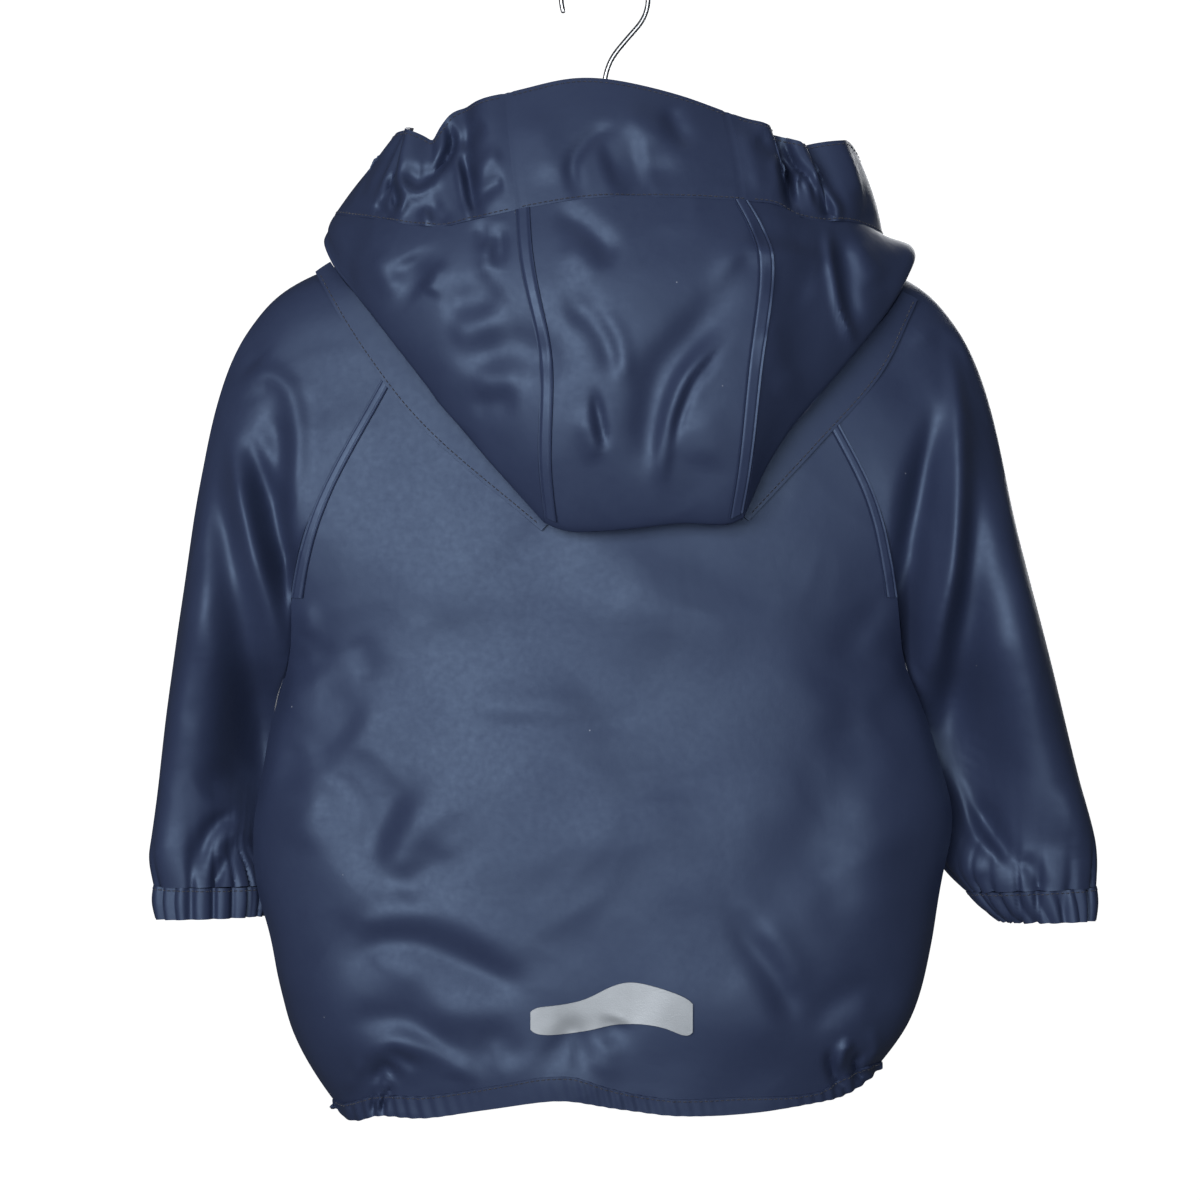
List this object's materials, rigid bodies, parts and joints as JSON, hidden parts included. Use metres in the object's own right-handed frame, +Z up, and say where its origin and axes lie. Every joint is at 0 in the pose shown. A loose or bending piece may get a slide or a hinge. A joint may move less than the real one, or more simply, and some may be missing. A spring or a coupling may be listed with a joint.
{
  "type": "kids raincoat on a hanger",
  "caption": "Child's hooded raincoat of coated cloth with raglan sleeves, elasticated cuffs and hem, hung on a wooden hanger with a wire hook.",
  "frame": {"origin": "the hang point: the inner top of the hanger's hook, where a rail carries it", "axes": "+Z up; the coat's back faces -Y and its front faces +Y; +X is the wearer's right"},
  "size_m": [0.5875, 0.168, 0.7186],
  "materials": {
    "coated_cloth": "navy polyurethane-coated knit with a soft satin sheen",
    "seam_tape": "welded seam tape of the same coated cloth, a little smoother",
    "reflective_film": "silver retro-reflective transfer film, bare",
    "snap_plastic": "moulded navy snap caps",
    "hanger_wood": "lacquered beech",
    "hook_wire": "bright plated wire"
  },
  "bodies": {
    "root": {"back_panel": "coated_cloth", "front_left": "coated_cloth", "front_right": "coated_cloth", "placket": "coated_cloth", "sleeve_left": "coated_cloth", "sleeve_right": "coated_cloth", "cuff_left": "coated_cloth", "cuff_right": "coated_cloth", "hem_back": "coated_cloth", "hem_front_left": "coated_cloth", "hem_front_right": "coated_cloth", "hood_centre": "coated_cloth", "hood_side_left": "coated_cloth", "hood_side_right": "coated_cloth", "brim_centre": "coated_cloth", "brim_left": "coated_cloth", "brim_right": "coated_cloth", "hood_band_left": "coated_cloth", "hood_band_right": "coated_cloth", "raglan_tape_back_left": "seam_tape", "raglan_tape_back_right": "seam_tape", "raglan_tape_front_left": "seam_tape", "raglan_tape_front_right": "seam_tape", "hood_tape_left": "seam_tape", "hood_tape_right": "seam_tape", "reflector": "reflective_film", "snap_1": "snap_plastic", "snap_2": "snap_plastic", "snap_3": "snap_plastic", "snap_4": "snap_plastic", "snap_5": "snap_plastic", "hanger_arms": "hanger_wood", "hanger_hook": "hook_wire"}
  },
  "joints": []
}
